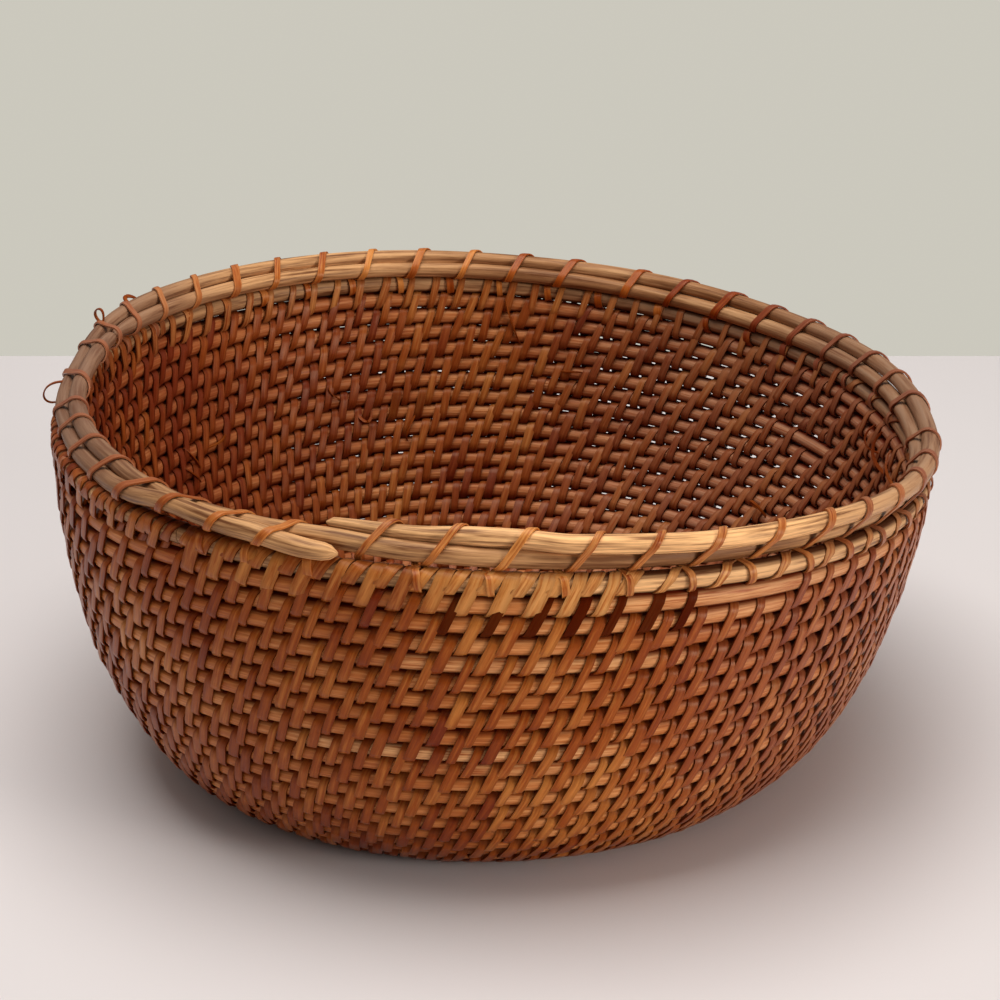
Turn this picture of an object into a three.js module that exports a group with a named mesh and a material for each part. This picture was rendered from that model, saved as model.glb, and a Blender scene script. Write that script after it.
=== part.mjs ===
// Oval coiled rattan fruit basket.
//
// One round cane winds in a spiral from a straight start at the middle of the base, out over the
// flat base and up the wall. A level hoop closes the wall. Two rim canes of one turn each lie on
// the hoop and cross at the front, and a wound strip binds them down to it. Millimetres, +Z up, the
// long axis of the oval along Y, the basket standing on Z = 0 over the origin.
import * as THREE from "three";

// Driving dimensions: the canes
const ROD = 4.6; // thickness of the round cane
const ROW_GAP = 1.02; // room that the stitching strip takes between two rows, on average
const FLAT_DEPTH = 0.5; // how deep the base cane is worn flat where the basket stands
const TIP = 1.2; // thickness of the shaved end of the last row
const SPLICE = 12; // length of the slanting cut where two canes meet
const SPLICE_GAP = 0.8; // gap along the cane at a slanting cut
const WALL_CANES = 7; // lengths of cane in the wall
const BASE_SPLICE_TURN = 9; // turn at which the second base cane takes over

// Driving dimensions: the bowl, measured to the middle of the cane
const CORE_HALF = 15; // half the straight start of the coil, along Y
const CORE_EASE = 1.2; // rounding of the corners of that straight run
const BASE_RADIUS = 80; // from the straight run to the edge of the flat base
const TURN_REACH = 21; // how far the turn from base to wall runs on level
const SHOULDER_RADIUS = 124.4; // where the wall's curve aims, from the straight run
const SHOULDER_HEIGHT = 33.4; // height at which it aims there
const HOOP_RADIUS = 129.7; // middle of the hoop, from the straight run
const HOOP_HEIGHT = 100.4; // middle of the hoop above the ground, on average
const RIM_LEAN = 7.5; // how much the rim rises towards -X and falls towards +X
const RIM_DIP = 2; // how much the rim dips at both long sides and rises at both ends
const RIM_SKEW = 1; // how much it rises between -X and +Y and falls between +X and +Y
const RIM_SWAY = 3.1; // how far the rim stands out of line with the base, towards +X
const HOOP_GAP = 1; // clear room between the hoop and the shaved end under it

// Driving dimensions: where rows step up, as plan angles in degrees
const STEP_END = 230; // a row steps up to the next one just before this angle
const STEP_SPAN = 120; // angle over which most of the step is made
const STEP_SHARE = 0.74; // share of the step that is made there on the top row

// Driving dimensions: the rim
const RIM_GAP = 0.6; // gap between the two rim canes
const RIM_TIP = 2.6; // thickness of the outer rim cane at its thin start
const RIM_TAPER = 18; // plan angle over which it grows to full thickness, in degrees
const RIM_LAP = 2; // plan angle by which its end runs past its start, in degrees
const INNER_RIM_START = 160; // plan angle where the ends of the inner rim cane meet, in degrees
// Stops along the outer rim cane: plan angle in degrees, place of the inner rim cane from the hoop
// (outward, up), and the side of it on which the outer one lies, in degrees from outward
const RIM_STOPS = [
  [-110, -3.0, 7.4, 135],
  [-98, -2.0, 6.6, 130],
  [-90, -1.6, 6.5, 106],
  [-80, -1.6, 6.3, 72],
  [-60, -2.0, 6.0, 57],
  [-20, -1.5, 5.6, 50],
  [20, 0.2, 5.7, 52],
  [50, -0.8, 6.3, 52],
  [90, -2.0, 6.0, 41],
  [150, -1.5, 5.5, 43],
  [180, -4.0, 8.0, -4],
  [205, -4.6, 9.0, -30],
  [220, -3.3, 9.0, -38],
  [230, -3.3, 8.8, -43],
  [250, -3.0, 7.4, -25],
];
const STRIP_WIDTH = 3.2; // flat strip that binds the rim
const STRIP_THICKNESS = 0.4;
const STRIP_CLEARANCE = 0.35; // gap between the strip and the canes that it binds
const LASHING_START = -106; // plan angle where the first strip starts under the hoop, in degrees
const LASHING_STEP = 8; // plan angle from one wrap to the next, in degrees
const LASHING_WRAPS = [22, 21]; // wraps of the two lengths of strip
const LASHING_END_GAP = 3; // plan angle left free between the two strips, in degrees

// Facets
const STEPS = 24; // steps in a turn of cane
const BASE_SIDES = 5;
const WALL_SIDES = 6;
const WRAP_STEPS = 8; // steps in a wrap of strip

const TURN = 2 * Math.PI;
const radians = THREE.MathUtils.degToRad;

// Half profile of the bowl as (distance from the straight run, height).
const baseHeight = ROD / 2 - FLAT_DEPTH;
const wallProfile = new THREE.CubicBezierCurve(
  new THREE.Vector2(BASE_RADIUS, baseHeight),
  new THREE.Vector2(BASE_RADIUS + TURN_REACH, baseHeight),
  new THREE.Vector2(SHOULDER_RADIUS, SHOULDER_HEIGHT),
  new THREE.Vector2(HOOP_RADIUS, HOOP_HEIGHT),
);
const hoopReach = BASE_RADIUS + wallProfile.getLength();

// Point and direction of the profile at a reach, the length along it from the straight run.
function profileAt(reach) {
  if (reach <= BASE_RADIUS) {
    return { point: new THREE.Vector2(reach, baseHeight), along: new THREE.Vector2(1, 0) };
  }
  const share = Math.min(1, (reach - BASE_RADIUS) / wallProfile.getLength());
  return { point: wallProfile.getPointAt(share), along: wallProfile.getTangentAt(share) };
}

// Rise of the rim over its average height at a plan angle.
function rimRise(angle) {
  const lean = RIM_LEAN * Math.cos(angle);
  return -lean - RIM_DIP * Math.cos(2 * angle) - RIM_SKEW * Math.sin(2 * angle);
}

// Plan of the oval: a parallel curve round the straight run, whose normal points at the angle.
// Heights take the rise of the rim in step with their share of the wall's height, and the sway
// grows with the square of that share, half of it each way.
function place(angle, radius, height) {
  const across = Math.cos(angle);
  const along = Math.sin(angle);
  const size = Math.hypot(CORE_EASE * across, CORE_HALF * along);
  const x = (CORE_EASE ** 2 * across) / size + radius * across;
  const y = (CORE_HALF ** 2 * along) / size + radius * along;
  const share = (height - baseHeight) / (HOOP_HEIGHT - baseHeight);
  const sway = RIM_SWAY * (share ** 2 - 0.5);
  return new THREE.Vector3(x + sway, y, height + rimRise(angle) * share);
}

// Rows wound by a turn: uniform at the base, gathered into the step towards the top.
function rowsAt(turn, turns) {
  const share = turn - Math.floor(turn);
  const level = 1 - STEP_SPAN / 360;
  const before = 1 - STEP_SHARE;
  const gathered =
    share < level
      ? (before * share) / level
      : before + (STEP_SHARE * (share - level)) / (1 - level);
  return Math.floor(turn) + share + ((gathered - share) * turn) / turns;
}

// The coil starts one step before the middle of the straight run and ends on a whole turn, its
// shaved tip one gap under the hoop. The runs on both sides of the start lie one row apart.
const stepEnd = radians(STEP_END);
const straightTurn = (360 - STEP_END) / 360;
const startTurn = straightTurn - 1 / STEPS;
const shaving = (ROD - TIP) / 2;
const endReach = hoopReach - (ROD + TIP) / 2 - HOOP_GAP + shaving;
const turns = Math.round(endReach / (ROD + ROW_GAP));
const rowShift = (rowsAt(straightTurn, turns) + rowsAt(straightTurn + 0.5, turns) - 1) / 2;
const rowPitch = endReach / (turns - rowShift);
const baseTurns = Math.round(BASE_RADIUS / rowPitch + rowShift);

function turnAngle(turn) {
  return stepEnd + turn * TURN;
}

// Thickness of the coil: the last row is shaved down over the step.
function thicknessAt(turn) {
  const taper = (turns - turn) / (STEP_SPAN / 360);
  return taper >= 1 ? ROD : TIP + (ROD - TIP) * Math.max(0, taper);
}

// Place and cross-section axes of the coil at a turn: outward and up along the profile.
function coilFrame(turn) {
  const angle = turnAngle(turn);
  const thickness = thicknessAt(turn);
  const reach = rowPitch * (rowsAt(turn, turns) - rowShift) - (ROD - thickness) / 2;
  return frameOn(angle, reach, thickness);
}

function frameOn(angle, reach, thickness) {
  const { point, along } = profileAt(reach);
  const out = new THREE.Vector3(along.y * Math.cos(angle), along.y * Math.sin(angle), -along.x);
  const up = new THREE.Vector3(along.x * Math.cos(angle), along.x * Math.sin(angle), along.y);
  return { centre: place(angle, point.x, point.y), out, up, thickness };
}

function hoopFrame(turn) {
  return frameOn(turnAngle(turn), hoopReach, ROD);
}

// Values of the rim's stops at a plan angle in degrees, eased from stop to stop.
function rimStop(degrees) {
  const after = RIM_STOPS.findIndex(([angle]) => angle > degrees);
  const index = after < 0 ? RIM_STOPS.length - 1 : Math.max(1, after);
  const [from, ...start] = RIM_STOPS[index - 1];
  const [to, ...end] = RIM_STOPS[index];
  const eased = THREE.MathUtils.smoothstep(degrees, from, to);
  return start.map((value, i) => THREE.MathUtils.lerp(value, end[i], eased));
}

// Place of the inner rim cane from the hoop at any plan angle in degrees, outward and up.
const OUTER_RIM_START = RIM_STOPS[0][0];

function innerRimPlace(degrees) {
  const around = THREE.MathUtils.euclideanModulo(degrees - OUTER_RIM_START, 360);
  const [outward, upward] = rimStop(OUTER_RIM_START + around);
  return [outward, upward];
}

function rimFrame(degrees, outward, upward, thickness) {
  const angle = radians(degrees);
  const centre = place(angle, HOOP_RADIUS + outward, HOOP_HEIGHT);
  centre.z += upward;
  const out = new THREE.Vector3(Math.cos(angle), Math.sin(angle), 0);
  return { centre, out, up: new THREE.Vector3(0, 0, 1), thickness };
}

function innerRimFrame(turn) {
  const degrees = INNER_RIM_START + 360 * turn;
  return rimFrame(degrees, ...innerRimPlace(degrees), ROD);
}

// The outer rim cane lies against the inner one, on the side that the stops give.
function outerRimFrame(turn) {
  const degrees = OUTER_RIM_START + 360 * turn;
  const grown = THREE.MathUtils.clamp((360 * turn) / RIM_TAPER, 0, 1);
  const thickness = THREE.MathUtils.lerp(RIM_TIP, ROD, grown);
  const distance = (thickness + ROD) / 2 + RIM_GAP;
  const [outward, upward] = innerRimPlace(degrees);
  const side = radians(rimStop(degrees)[2]);
  const rimOut = outward + distance * Math.cos(side);
  const rimUp = upward + distance * Math.sin(side);
  return rimFrame(degrees, rimOut, rimUp, thickness);
}

// Closed skin over rings of equal point counts, with a flat fan on both ends, facing outwards.
function skin(rings) {
  const count = rings[0].length;
  const points = rings.flat();
  const faces = [];
  for (let ring = 0; ring + 1 < rings.length; ring++) {
    for (let i = 0; i < count; i++) {
      const here = ring * count;
      const next = (i + 1) % count;
      faces.push([here + i, here + next, here + count + i]);
      faces.push([here + next, here + count + next, here + count + i]);
    }
  }
  const last = (rings.length - 1) * count;
  for (let i = 1; i + 1 < count; i++) {
    faces.push([0, i + 1, i]);
    faces.push([last, last + i, last + i + 1]);
  }
  const normal = new THREE.Vector3();
  const volume = faces.reduce((sum, [a, b, c]) => {
    return sum + points[a].dot(normal.crossVectors(points[b], points[c]));
  }, 0);
  const outward = volume > 0 ? faces : faces.map(([a, b, c]) => [a, c, b]);
  const geometry = new THREE.BufferGeometry().setFromPoints(points);
  geometry.setIndex(outward.flat());
  geometry.computeVertexNormals();
  return geometry;
}

// Middle of a faceted cane at a turn: on the straight chord between two steps.
function chordPoint(frameAt, turn) {
  const step = Math.floor(turn * STEPS + 1e-9);
  const a = frameAt(step / STEPS).centre;
  const b = frameAt((step + 1) / STEPS).centre;
  return a.lerp(b, turn * STEPS - step);
}

// Ring of a cane: a regular section with a flat towards the outside, worn flat at the ground. A
// slanting cut moves each point along the cane by its place across it.
function caneRing(frameAt, turn, sides, slant) {
  const ring = [];
  for (let i = 0; i < sides; i++) {
    const around = ((i + 0.5) * TURN) / sides;
    const { centre, out, up, thickness } = frameAt(turn + slant * Math.sin(around));
    const point = centre.clone();
    point.addScaledVector(out, (thickness / 2) * Math.cos(around));
    point.addScaledVector(up, (thickness / 2) * Math.sin(around));
    point.z = Math.max(0, point.z);
    ring.push(point);
  }
  return ring;
}

// Cane from one turn to another, with steps at whole parts of a turn and slanting cuts at splices.
function cane(frameAt, from, to, sides, cuts = { start: true, end: true }) {
  const girth = (turn) => {
    const ahead = frameAt(turn + 0.5 / STEPS).centre;
    return ahead.distanceTo(frameAt(turn - 0.5 / STEPS).centre) * STEPS;
  };
  const rings = [];
  const startGirth = girth(from);
  const endGirth = girth(to);
  const first = cuts.start ? from + SPLICE_GAP / 2 / startGirth : from;
  const last = cuts.end ? to - SPLICE_GAP / 2 / endGirth : to;
  rings.push(caneRing(frameAt, first, sides, cuts.start ? SPLICE / 2 / startGirth : 0));
  for (let step = Math.floor(from * STEPS) + 1; step < to * STEPS; step++) {
    rings.push(caneRing(frameAt, step / STEPS, sides, 0));
  }
  rings.push(caneRing(frameAt, last, sides, cuts.end ? SPLICE / 2 / endGirth : 0));
  return skin(rings);
}

// Middles of the canes that the strip binds at a plan angle: the hoop and both rim canes.
function boundCanes(angle) {
  const inner = (angle - radians(INNER_RIM_START)) / TURN;
  const outer = (angle - radians(OUTER_RIM_START)) / TURN;
  return [
    chordPoint(hoopFrame, (angle - stepEnd) / TURN),
    chordPoint(innerRimFrame, inner),
    chordPoint(outerRimFrame, outer),
  ];
}

// Corner of the outline that a strip makes round the bound canes, seen along the rim: where the
// two straight sides before and after this step of a wrap meet. Each side clears every cane.
const wrapAngle = radians(LASHING_STEP);
const sideAngle = TURN / WRAP_STEPS;

function stripCorner(angle, around, lift) {
  const canes = boundCanes(angle);
  const hoop = canes[0];
  const radial = new THREE.Vector3(Math.cos(angle), Math.sin(angle), 0);
  const sideReach = (facing) => {
    const outward = radial.clone().multiplyScalar(Math.cos(facing));
    outward.z = Math.sin(facing);
    return ROD / 2 + lift + Math.max(...canes.map((point) => point.clone().sub(hoop).dot(outward)));
  };
  const before = around - sideAngle / 2;
  const after = around + sideAngle / 2;
  const reachBefore = sideReach(before);
  const reachAfter = sideReach(after);
  const across = reachBefore * Math.sin(after) - reachAfter * Math.sin(before);
  const rise = reachAfter * Math.cos(before) - reachBefore * Math.cos(after);
  const corner = hoop.clone().addScaledVector(radial, across / Math.sin(sideAngle));
  corner.z += rise / Math.sin(sideAngle);
  return corner;
}

// Strip wound round the bound canes from under the hoop, outside first, moving on along the rim by
// an equal angle at each step.
function stripRing(startAngle, wrap) {
  const angle = startAngle + wrap * wrapAngle;
  const around = (wrap - 0.25 + 0.5 / WRAP_STEPS) * TURN;
  const inner = stripCorner(angle, around, STRIP_CLEARANCE);
  const outer = stripCorner(angle, around, STRIP_CLEARANCE + STRIP_THICKNESS);
  const side = new THREE.Vector3(-Math.sin(angle), Math.cos(angle), 0).setLength(STRIP_WIDTH / 2);
  return [outer.clone().add(side), outer.sub(side), inner.clone().sub(side), inner.add(side)];
}

function lashing(startAngle, wraps) {
  const rings = [];
  for (let step = 0; step <= wraps * WRAP_STEPS; step++) {
    rings.push(stripRing(startAngle, step / WRAP_STEPS));
  }
  return skin(rings);
}

// Least clear gap of a winding to itself, on points along its middle at least half a turn apart.
function leastGap(name, pointAt, from, to, steps, thickness) {
  const points = [];
  for (let step = Math.ceil(from * steps); step <= to * steps; step++) {
    points.push(pointAt(step / steps));
  }
  let least = Infinity;
  for (let i = 0; i < points.length; i++) {
    for (let j = i + steps / 2; j < points.length; j++) {
      least = Math.min(least, points[i].distanceTo(points[j]));
    }
  }
  console.log(`${name}: least gap to itself ${(least - thickness).toFixed(2)} mm`);
}

const basket = new THREE.Group();

function addPiece(name, geometry, finish) {
  const mesh = new THREE.Mesh(geometry, new THREE.MeshStandardMaterial(finish));
  mesh.name = name;
  basket.add(mesh);
}

const CANE_FINISH = { color: 0x8a5327, roughness: 0.6, metalness: 0 };
const RIM_FINISH = { color: 0xb98448, roughness: 0.55, metalness: 0 };
const STRIP_FINISH = { color: 0x8f5a2c, roughness: 0.6, metalness: 0 };

// Base: two lengths of cane, the first with the straight start.
const baseEnds = [startTurn, BASE_SPLICE_TURN, baseTurns];
for (let i = 0; i + 1 < baseEnds.length; i++) {
  const cuts = { start: i > 0, end: true };
  const geometry = cane(coilFrame, baseEnds[i], baseEnds[i + 1], BASE_SIDES, cuts);
  addPiece(`base_cane_${i + 1}`, geometry, CANE_FINISH);
}

// Wall: lengths of equal turns, the last one shaved to a tip under the hoop.
function wallCaneStart(i) {
  const turn = baseTurns + ((turns - baseTurns) * i) / WALL_CANES;
  return Math.round(turn * STEPS) / STEPS;
}
for (let i = 0; i < WALL_CANES; i++) {
  const cuts = { start: true, end: i + 1 < WALL_CANES };
  const geometry = cane(coilFrame, wallCaneStart(i), wallCaneStart(i + 1), WALL_SIDES, cuts);
  addPiece(`wall_cane_${i + 1}`, geometry, CANE_FINISH);
}

// Hoop: one level turn whose slanting ends meet.
addPiece("top_hoop", cane(hoopFrame, 0, 1, WALL_SIDES), RIM_FINISH);

// Rim: the inner cane's slanting ends meet, and the outer cane's end runs past its thin start.
const outerRimEnd = 1 + RIM_LAP / 360;
const squareEnds = { start: false, end: false };
addPiece("rim_cane_inner", cane(innerRimFrame, 0, 1, WALL_SIDES), RIM_FINISH);
addPiece("rim_cane_outer", cane(outerRimFrame, 0, outerRimEnd, WALL_SIDES, squareEnds), RIM_FINISH);

// Lashing: two lengths of strip, one after the other.
let lashingStart = radians(LASHING_START);
LASHING_WRAPS.forEach((wraps, i) => {
  const startAngle = lashingStart;
  addPiece(`rim_lashing_${i + 1}`, lashing(startAngle, wraps), STRIP_FINISH);
  const middle = (wrap) => stripRing(startAngle, wrap)[2];
  leastGap(`rim_lashing_${i + 1}`, middle, 0, wraps, WRAP_STEPS, STRIP_WIDTH);
  lashingStart += wraps * wrapAngle + radians(LASHING_END_GAP);
});

leastGap("coil", (turn) => coilFrame(turn).centre, startTurn, turns - STEP_SPAN / 360, STEPS, ROD);
const outerRimMiddle = (turn) => outerRimFrame(turn).centre;
leastGap("rim_cane_outer", outerRimMiddle, 0, outerRimEnd, STEPS, ROD);

export default basket;
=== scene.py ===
"""Coiled rattan fruit basket: canes, stitching, lashed rim, finishes, light and camera.

Lengths are worked out in millimetres and put into the meshes in metres. The coil, the plan and the
profile are those of the solid part. A place on the coil is a turn: whole turns lie over each other.
Plan angles run from +X towards +Y, in degrees in the tables: the front is at -90, the right at 0.
"""
import math

import bpy
import numpy as np
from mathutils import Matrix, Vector


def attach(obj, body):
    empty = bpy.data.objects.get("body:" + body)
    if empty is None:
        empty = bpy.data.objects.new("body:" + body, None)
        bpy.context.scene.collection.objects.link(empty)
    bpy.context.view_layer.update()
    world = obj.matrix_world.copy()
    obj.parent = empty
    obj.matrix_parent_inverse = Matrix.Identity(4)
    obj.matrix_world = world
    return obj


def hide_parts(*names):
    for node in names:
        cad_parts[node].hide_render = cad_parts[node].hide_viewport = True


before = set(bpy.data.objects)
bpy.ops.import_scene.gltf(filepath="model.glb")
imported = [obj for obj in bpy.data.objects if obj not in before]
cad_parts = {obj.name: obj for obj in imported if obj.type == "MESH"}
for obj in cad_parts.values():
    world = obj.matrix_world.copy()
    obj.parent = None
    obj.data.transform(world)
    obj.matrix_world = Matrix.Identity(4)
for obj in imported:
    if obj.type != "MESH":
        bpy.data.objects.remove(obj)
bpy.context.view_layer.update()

MM = 0.001
FULL = 2 * math.pi

# Sizes of the canes and the bowl, as in the solid part
ROD = 4.6  # thickness of the cane
ROW_GAP = 1.02  # mean room between two rows
FLAT_DEPTH = 0.5  # how deep the base cane is worn flat
TIP = 1.2  # thickness of the shaved end of the last row
BASE_SPLICE_TURN = 9  # where the second base cane starts
WALL_CANES = 7
CORE_HALF = 15  # half the straight start of the coil
CORE_EASE = 1.2  # rounding of its corners
BASE_RADIUS = 80  # from the straight start to the edge of the flat base
TURN_REACH = 21  # how far the wall's curve starts on level
SHOULDER_RADIUS = 124.4  # where it aims next
SHOULDER_HEIGHT = 33.4
HOOP_RADIUS = 129.7  # middle of the hoop
HOOP_HEIGHT = 100.4  # its mean height
RIM_LEAN = 7.5  # rise of the rim towards -X, and fall towards +X
RIM_DIP = 2  # its dip at both long sides, and rise at both ends
RIM_SKEW = 1  # its rise between -X and +Y, and fall between +X and +Y
RIM_SWAY = 3.1  # how far it is out of line with the base, towards +X
HOOP_GAP = 1  # room between the hoop and the shaved end
STEP_END = 230  # plan angle where a row has stepped up to the next one
STEP_SPAN = 120 / 360  # share of a turn that most of the step takes
STEP_SHARE = 0.74  # share of the step that is made there on the top row
START_LEAD = 1 / 24  # share of a turn by which the coil starts before its straight run
RIM_GAP = 0.6  # between the rim canes
RIM_TIP = 2.6  # thickness of the outer one at its thin start
RIM_TAPER = 18  # plan angle over which it grows to the full thickness
# Stops along the rim, some moved from the solid part's: plan angle, place of the inner rim cane from
# the hoop (outward, up), and the side of it where the outer one lies, in degrees from outward
RIM_STOPS = np.array([
    (-110, -3.0, 7.4, 135),
    (-98, -2.0, 6.6, 130),
    (-90, -1.6, 6.5, 106),
    (-80, -1.6, 6.3, 72),
    (-60, -2.0, 6.0, 57),
    (-20, -1.5, 5.6, 50),
    (20, 0.2, 5.7, 52),
    (50, -0.8, 5.5, 52),
    (90, -2.0, 5.5, 43),
    (150, -1.5, 5.5, 43),
    (180, -4.6, 8.3, -30),
    (195, -5.2, 9.2, -50),
    (210, -5.0, 8.7, -48),
    (220, -4.2, 7.2, -10),
    (228, -3.7, 6.5, 20),
    (240, -3.3, 6.7, 6),
    (250, -3.0, 7.4, -25),
])
OUTER_RIM_START = RIM_STOPS[0, 0]

# How the canes differ from the solid ones, which are spaced apart
FULLER = 0.75  # the canes are this much thicker
RIM_FULLER = 0.75  # and the rim canes this much, so that they touch
ROW_OVERLAP = 0.35  # how much the canes sink into each other where rows meet
ROW_LIGHT = 0.34  # how far apart they stand where light shows between them
DRAWN_ROWS = 8  # rows over which the slit under the hoop is taken up
DRAWN_AHEAD = 0.06  # share of a turn before the end of the coil where that starts
DRAWN_SHARE = 0.9  # share of the slit that is taken up
CLOSED_TURNS = 4  # turns over which the slit at the middle of the base is taken up
ROD_FLOOR = 0.35  # the base canes end this high, on the stitches that lie under them
COIL_WAVER = (0.28, 0.14)  # how far the coil strays across the wall and up it
COIL_SEEDS = (11, 12)
RIM_WAVER = 0.12  # how far a rim cane strays
RIM_UNEVEN = 0.035  # share by which its thickness differs along it
RIM_OUT_SEED, RIM_UP_SEED, RIM_UNEVEN_SEED = 30, 31, 41

# Sizes of the strip, the stitching and the wraps on the hoop
STRIP_THICKNESS = 0.5
STRIP_CROWN = 0.16  # how much the middle of its face is raised
STITCH_WIDTH = 2.9
STITCH_WIDTHS = (0.78, 1.16)  # least and largest share of that width
STITCHES = 79.45  # in a turn of the wall, so each row lies 0.45 of one ahead of the row above
STITCH_SHIFT = 0.05  # share of a spacing by which a stitch is out of place
STITCH_SLACK = (0.05, 0.3)  # how far it hangs off the lower row, least and most
STITCH_LIFT = 0.06  # how far it stands off the cane elsewhere
STITCH_FLOORS = (0.02, 0, 0.02, 0.27, 0.27)  # least heights of the corners of its section
OUTER_LEAN = 0.58  # share of a spacing a stitch moves on along its outer leg
TUCKED_REACH = ROD / 4  # from the middle of a row to a stitch that runs on inside it
# Plan angle and how wide apart the stitches lie there, against their mean spacing
STITCH_SPREAD = (
    (-180, 1.08), (-150, 1.10), (-125, 0.95), (-108, 0.88), (-96, 0.96), (-88, 1.0), (-80, 0.96),
    (-68, 0.84), (-55, 0.88), (-30, 1.0), (0, 1.05), (40, 1.10), (70, 1.0), (90, 0.94),
    (140, 0.96), (180, 1.08),
)
# Stretches of row that are not stitched: the row, counted from the hoop down, and its plan angles
BARE_STRETCHES = ((1, -65, -54), (5, 22.5, 29.5), (5, 31.5, 35.5))
# Plan angle and how far the rows stand apart there, as a share
ROWS_APART = ((-10, 0), (12, 1), (50, 1), (80, 0.7), (125, 0.62), (150, 0))
# Wraps on the hoop, in degrees after its start: the first, the end and the step of each stretch
FRONT_LEFT_WRAPS = (0.5, 56, 1.95)
BACK_WRAPS = (154, 275, 4.1)
LEFT_WRAPS = (278, 364, 2.3)
FRONT_RIGHT_END = 150
FRONT_RIGHT_LEAD = 4.48  # lashing wraps before the first one there, which lies midway between two
PAIRED_BEFORE, PAIRED_AFTER = 54, 280  # there every other wrap holds the hoop alone
HOOP_WIDTHS = ((0, 1.38), (52, 1.38), (58, 0.9), (275, 0.9), (280, 1.2))  # shares of STITCH_WIDTH
HOOP_LEAN = 2.6  # plan angle a wrap on the hoop moves on along its outer leg
HOOP_LEAN_SHARES = (0.35, 1.4)  # least and largest share of a spacing that this may be

# Sizes of the rim's ends and its lashing
INNER_RIM_ENDS = (167, 526)  # plan angles
OUTER_RIM_ENDS = (-110.6, 252.2)
# Shape of the start and the end of a rim cane: millimetres over which it is rounded off, share of
# the thickness left there, and millimetres over which it grows
INNER_RIM_TIPS = ((3, 0.85, 20), (2, 0.45, 15))
OUTER_RIM_TIPS = ((2, 0.9, 10), (5, 0.85, 12))
INNER_TIP_SIDE = (0.3, 0.25)  # side, outward and up, to which its thinned ends lie
LASH_WIDTH = 2.4
LASH_WIDTHS = (0.75, 1.15)  # least and largest share of that width
LASH_START = -106  # plan angle where the lashing starts under the hoop
LASH_STEP = 8  # plan angle from one wrap to the next
LASH_SHIFT = 0.05  # share of that step by which a wrap is out of place
LASH_WRAPS = (22, 22)  # wraps of the two lengths of strip
LASH_END_GAP = 3  # plan angle between them
LASH_LIFT = 0.15  # how far it stands off the canes
# Arcs of the figure of eight, in degrees from outward: up the inside of the hoop, over both rim
# canes, and down the outside of the hoop
LASH_ARCS = ((-90, -225), (-60, 235), (45, -90))
# Share of a wrap and the share of the step that it has moved on by then
LASH_MOVES = ((0, 0), (0.2, 0.04), (0.47, 0.54), (0.73, 0.88), (0.85, 0.97), (1, 1))

# How finely the meshes are made
CANE_SIDES = 12
BASE_STEPS, WALL_STEPS, HOOP_STEPS = 110, 150, 200  # rings in a turn of cane
RIM_RINGS = 400
LASH_RINGS = 48  # in a wrap
ARC_STEPS = 91
LOOSE_RINGS = 25
PROFILE_STEPS = 2001
COUNTER_STEPS = 60001
SHARP_ANGLE = math.radians(55)  # edges sharper than this are not smoothed
# Shares of a wrap at which a stitch has a ring: on the bends, and none on the straight legs
WRAP_SHARES = np.array([
    0, 0.055, 0.11, 0.16, 0.34, 0.39, 0.445, 0.5, 0.555, 0.61, 0.66, 0.84, 0.89, 0.945,
])

BASE_HEIGHT = ROD / 2 - FLAT_DEPTH
STEP_ANGLE = math.radians(STEP_END)


# Curves and tables

def ease(value, middle, width):
    """Eased rise from 0 to 1 over a width round a middle. A negative width makes it a fall."""
    t = np.clip((value - middle) / width + 0.5, 0, 1)
    return t * t * (3 - 2 * t)


def near(angle, degrees, spread):
    """1 at a plan angle in degrees, fading out to both sides of it."""
    return np.exp((np.cos(angle - math.radians(degrees)) - 1) / spread)


def plan_degrees(angle):
    """Plan angle in degrees from -180 to 180."""
    return np.degrees(np.mod(angle + math.pi, FULL)) - 180


def from_table(value, table):
    """Value read from a table of pairs, straight from one to the next."""
    return np.interp(value, *np.array(table, dtype=float).T)


def bezier(stops, count):
    """Points of a cubic Bezier over four stops, and their shares of the way."""
    t = np.linspace(0, 1, count)[:, None]
    weights = np.hstack([(1 - t) ** 3, 3 * t * (1 - t) ** 2, 3 * t ** 2 * (1 - t), t ** 3])
    return weights @ np.array(stops, dtype=float), t[:, 0]


def waver(turn, seed, size):
    """Uneven hand work: sine waves along a cane, a ninth to three quarters of a turn long."""
    count = 7
    waves = np.random.default_rng(seed)
    speeds = waves.uniform(1.3, 9.0, count)
    phases = waves.uniform(0, FULL, count)
    total = sum(np.sin(FULL * speed * turn + phase) for speed, phase in zip(speeds, phases))
    return size * total / math.sqrt(count)


# Profile and plan: the wall is a cubic Bezier from the edge of the base to the hoop

wall_corners = [
    (BASE_RADIUS, BASE_HEIGHT),
    (BASE_RADIUS + TURN_REACH, BASE_HEIGHT),
    (SHOULDER_RADIUS, SHOULDER_HEIGHT),
    (HOOP_RADIUS, HOOP_HEIGHT),
]
curve, _ = bezier(wall_corners, PROFILE_STEPS)
curve_steps = np.linalg.norm(np.diff(curve, axis=0), axis=1)
profile_points = np.vstack([[(0, BASE_HEIGHT)], curve])
profile_reach = np.concatenate([[0, BASE_RADIUS], BASE_RADIUS + np.cumsum(curve_steps)])
profile_slope = np.gradient(profile_points, profile_reach, axis=0)
HOOP_REACH = profile_reach[-1]


def profile_at(reach):
    """Radius, height and direction (radial part, rising part) at a length along the profile."""
    columns = (*profile_points.T, *profile_slope.T)
    radius, height, run, rise = (np.interp(reach, profile_reach, column) for column in columns)
    size = np.hypot(run, rise)
    return radius, height, run / size, rise / size


def rim_rise(angle):
    """Rise of the rim over its mean height: a lean, a dip at both long sides and a skew."""
    return -RIM_LEAN * np.cos(angle) - RIM_DIP * np.cos(2 * angle) - RIM_SKEW * np.sin(2 * angle)


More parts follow.
